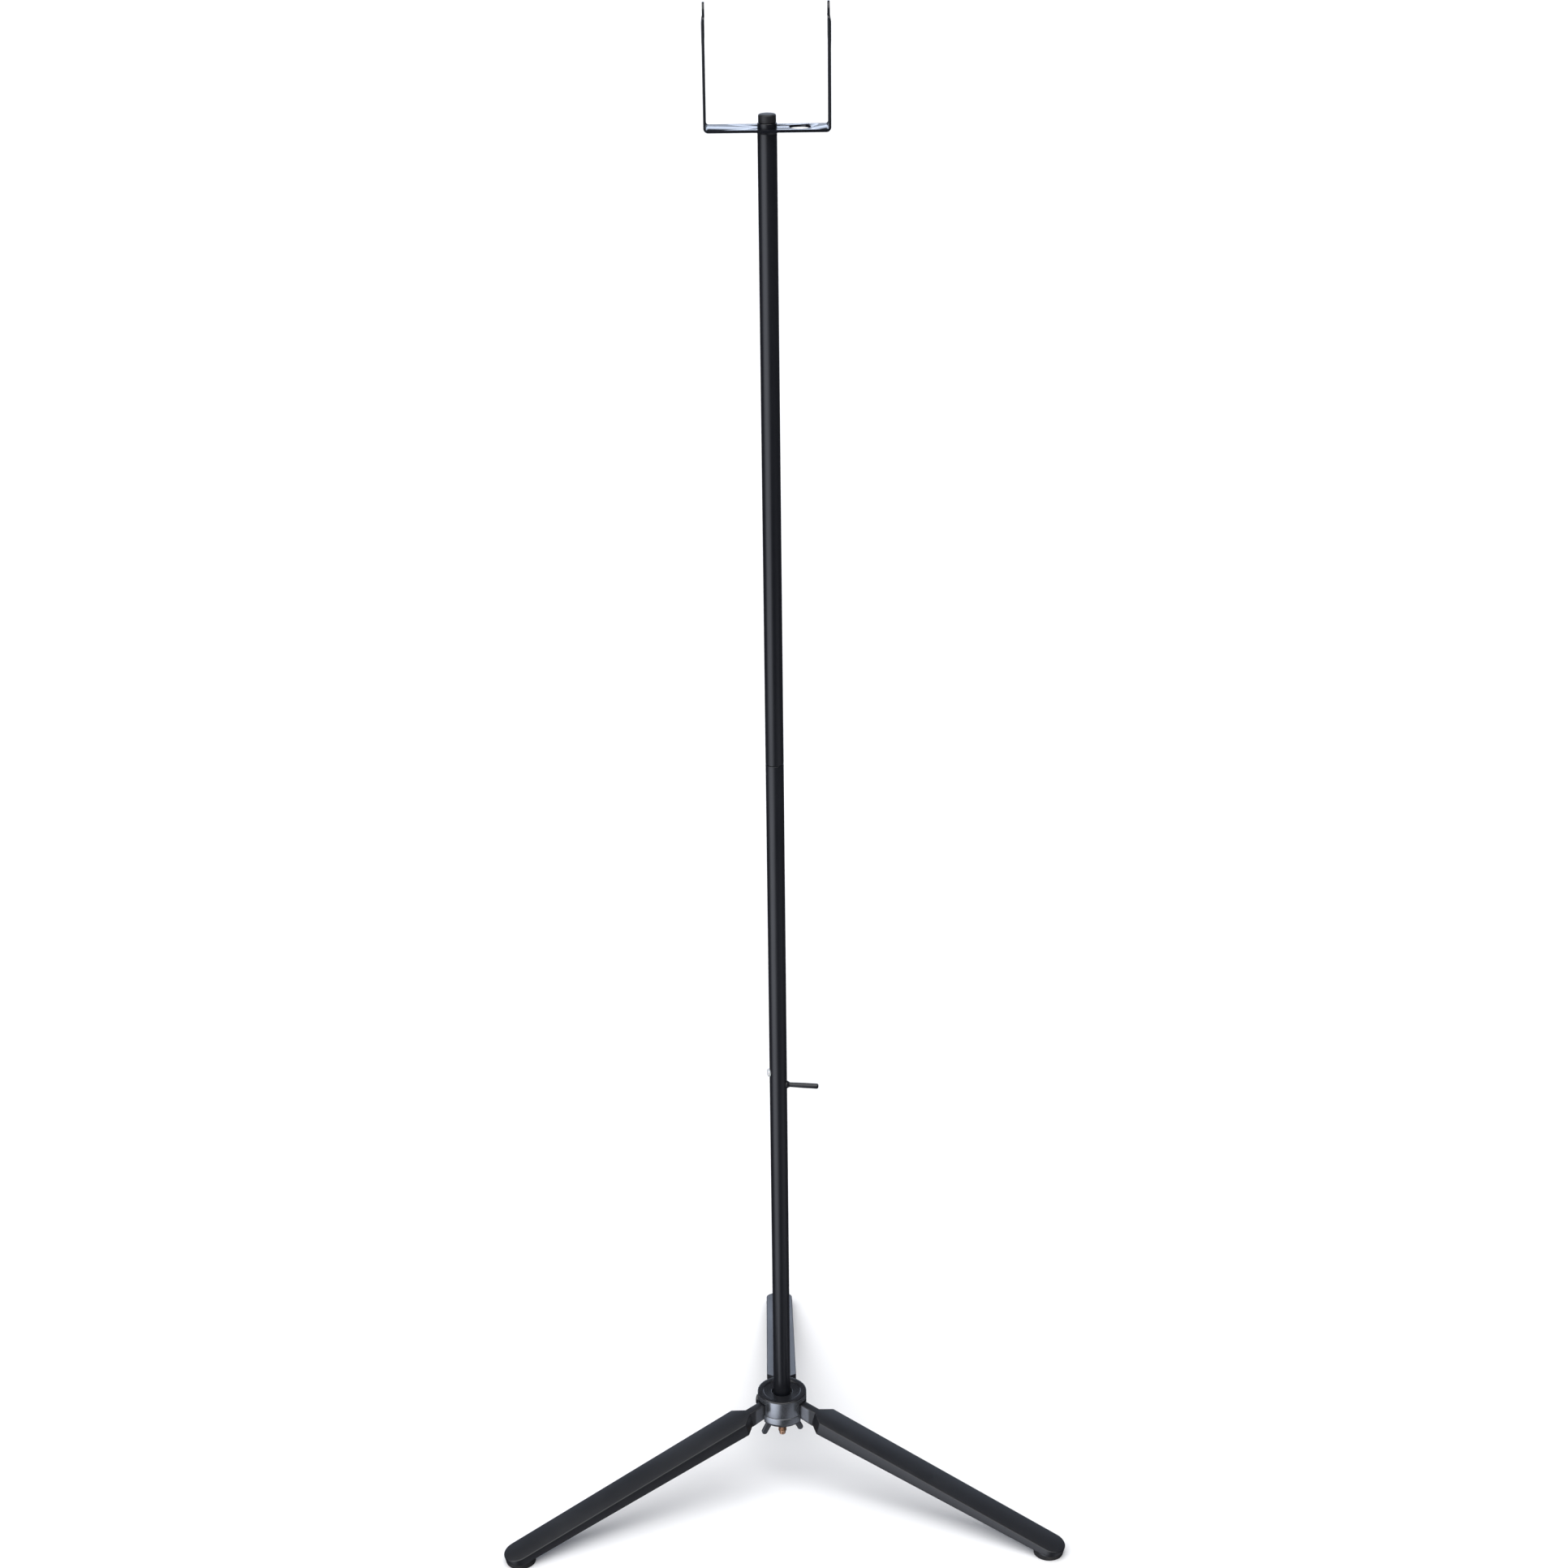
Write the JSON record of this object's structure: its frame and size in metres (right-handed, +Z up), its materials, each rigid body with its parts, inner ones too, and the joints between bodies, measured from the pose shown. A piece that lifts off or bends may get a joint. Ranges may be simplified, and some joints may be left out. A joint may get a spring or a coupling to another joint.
{
  "type": "light stand",
  "caption": "Light stand: a two-section screwed mast on a low hub with flat folding legs, a clamp ring with wing nut, a U-shaped strap fork on top and a side peg.",
  "frame": {"origin": "on the floor, in the middle of the footprint of the three feet; the mast stands 71.2 mm in front of it, towards -Y", "axes": "+Z up along the mast, +X to the right and -Y to the front as the stand is shown, the fork's arms at -X and +X"},
  "size_m": [0.5204, 0.4542, 1.3943],
  "materials": {
    "coated_steel": "satin black coat on tube and strap",
    "cast_black": "semi-gloss black enamel on castings",
    "black_plastic": "fine grained moulding",
    "rubber": "matt",
    "zinc_steel": "zinc plated",
    "coppery_brass": "dull coppery plate",
    "pale_nylon": "smooth moulding"
  },
  "bodies": {
    "hub": {"hub_body": "cast_black", "hub_bolt": "coppery_brass", "set_screw": "coated_steel", "lower_tube": "coated_steel", "mast_base_insert": "zinc_steel", "lower_joint_insert": "zinc_steel", "mast_peg": "coated_steel", "side_rivet": "pale_nylon", "hinge_pin_left": "zinc_steel", "hinge_pin_right": "zinc_steel", "hinge_pin_rear": "zinc_steel"},
    "leg_left": {"leg_left": "cast_black", "foot_pad_left": "rubber"},
    "leg_right": {"leg_right": "cast_black", "foot_pad_right": "rubber"},
    "leg_rear": {"leg_rear": "cast_black", "foot_pad_rear": "rubber"},
    "clamp_ring": {"clamp_ring": "cast_black", "bolt_washer": "zinc_steel"},
    "wing_nut": {"wing_nut": "cast_black"},
    "joint_stud": {"joint_stud": "zinc_steel"},
    "upper_mast": {"upper_tube": "coated_steel", "upper_joint_insert": "zinc_steel", "fork_bracket": "coated_steel", "fork_bead": "coated_steel", "mast_cap": "black_plastic"}
  },
  "joints": [
    {"name": "left_leg_fold", "type": "hinge", "parent": "hub", "child": "leg_left", "pos_m": [-0.01498, -0.07984, 0.0722], "axis": [0.5, -0.866, 0], "range_deg": [0, 50]},
    {"name": "right_leg_fold", "type": "hinge", "parent": "hub", "child": "leg_right", "pos_m": [0.01498, -0.07984, 0.0722], "axis": [0.5, 0.866, 0], "range_deg": [0, 50]},
    {"name": "rear_leg_fold", "type": "hinge", "parent": "hub", "child": "leg_rear", "pos_m": [0, -0.05389, 0.0722], "axis": [-1, 0, 0], "range_deg": [0, 50]},
    {"name": "clamp_ring_drop", "type": "slide", "parent": "hub", "child": "clamp_ring", "axis": [0, 0, -1], "range_m": [0, 0.00375]},
    {"name": "wing_nut_turn", "type": "hinge", "parent": "clamp_ring", "child": "wing_nut", "pos_m": [0, -0.07119, 0.053], "axis": [0, 0, -1], "range_deg": [0, 1100]},
    {"name": "mast_stud_lift", "type": "slide", "parent": "hub", "child": "joint_stud", "axis": [0, 0, 1], "range_m": [0, 0.0076]},
    {"name": "upper_mast_turn", "type": "hinge", "parent": "joint_stud", "child": "upper_mast", "pos_m": [0, -0.07119, 0.738], "axis": [0, 0, 1], "range_deg": [0, 2160]}
  ],
  "couplings": [
    {"joint": "wing_nut_turn", "follows": "clamp_ring_drop", "rad_per_m": 5026.5},
    {"joint": "mast_stud_lift", "follows": "upper_mast_turn", "m_per_rad": 0.00019894}
  ]
}
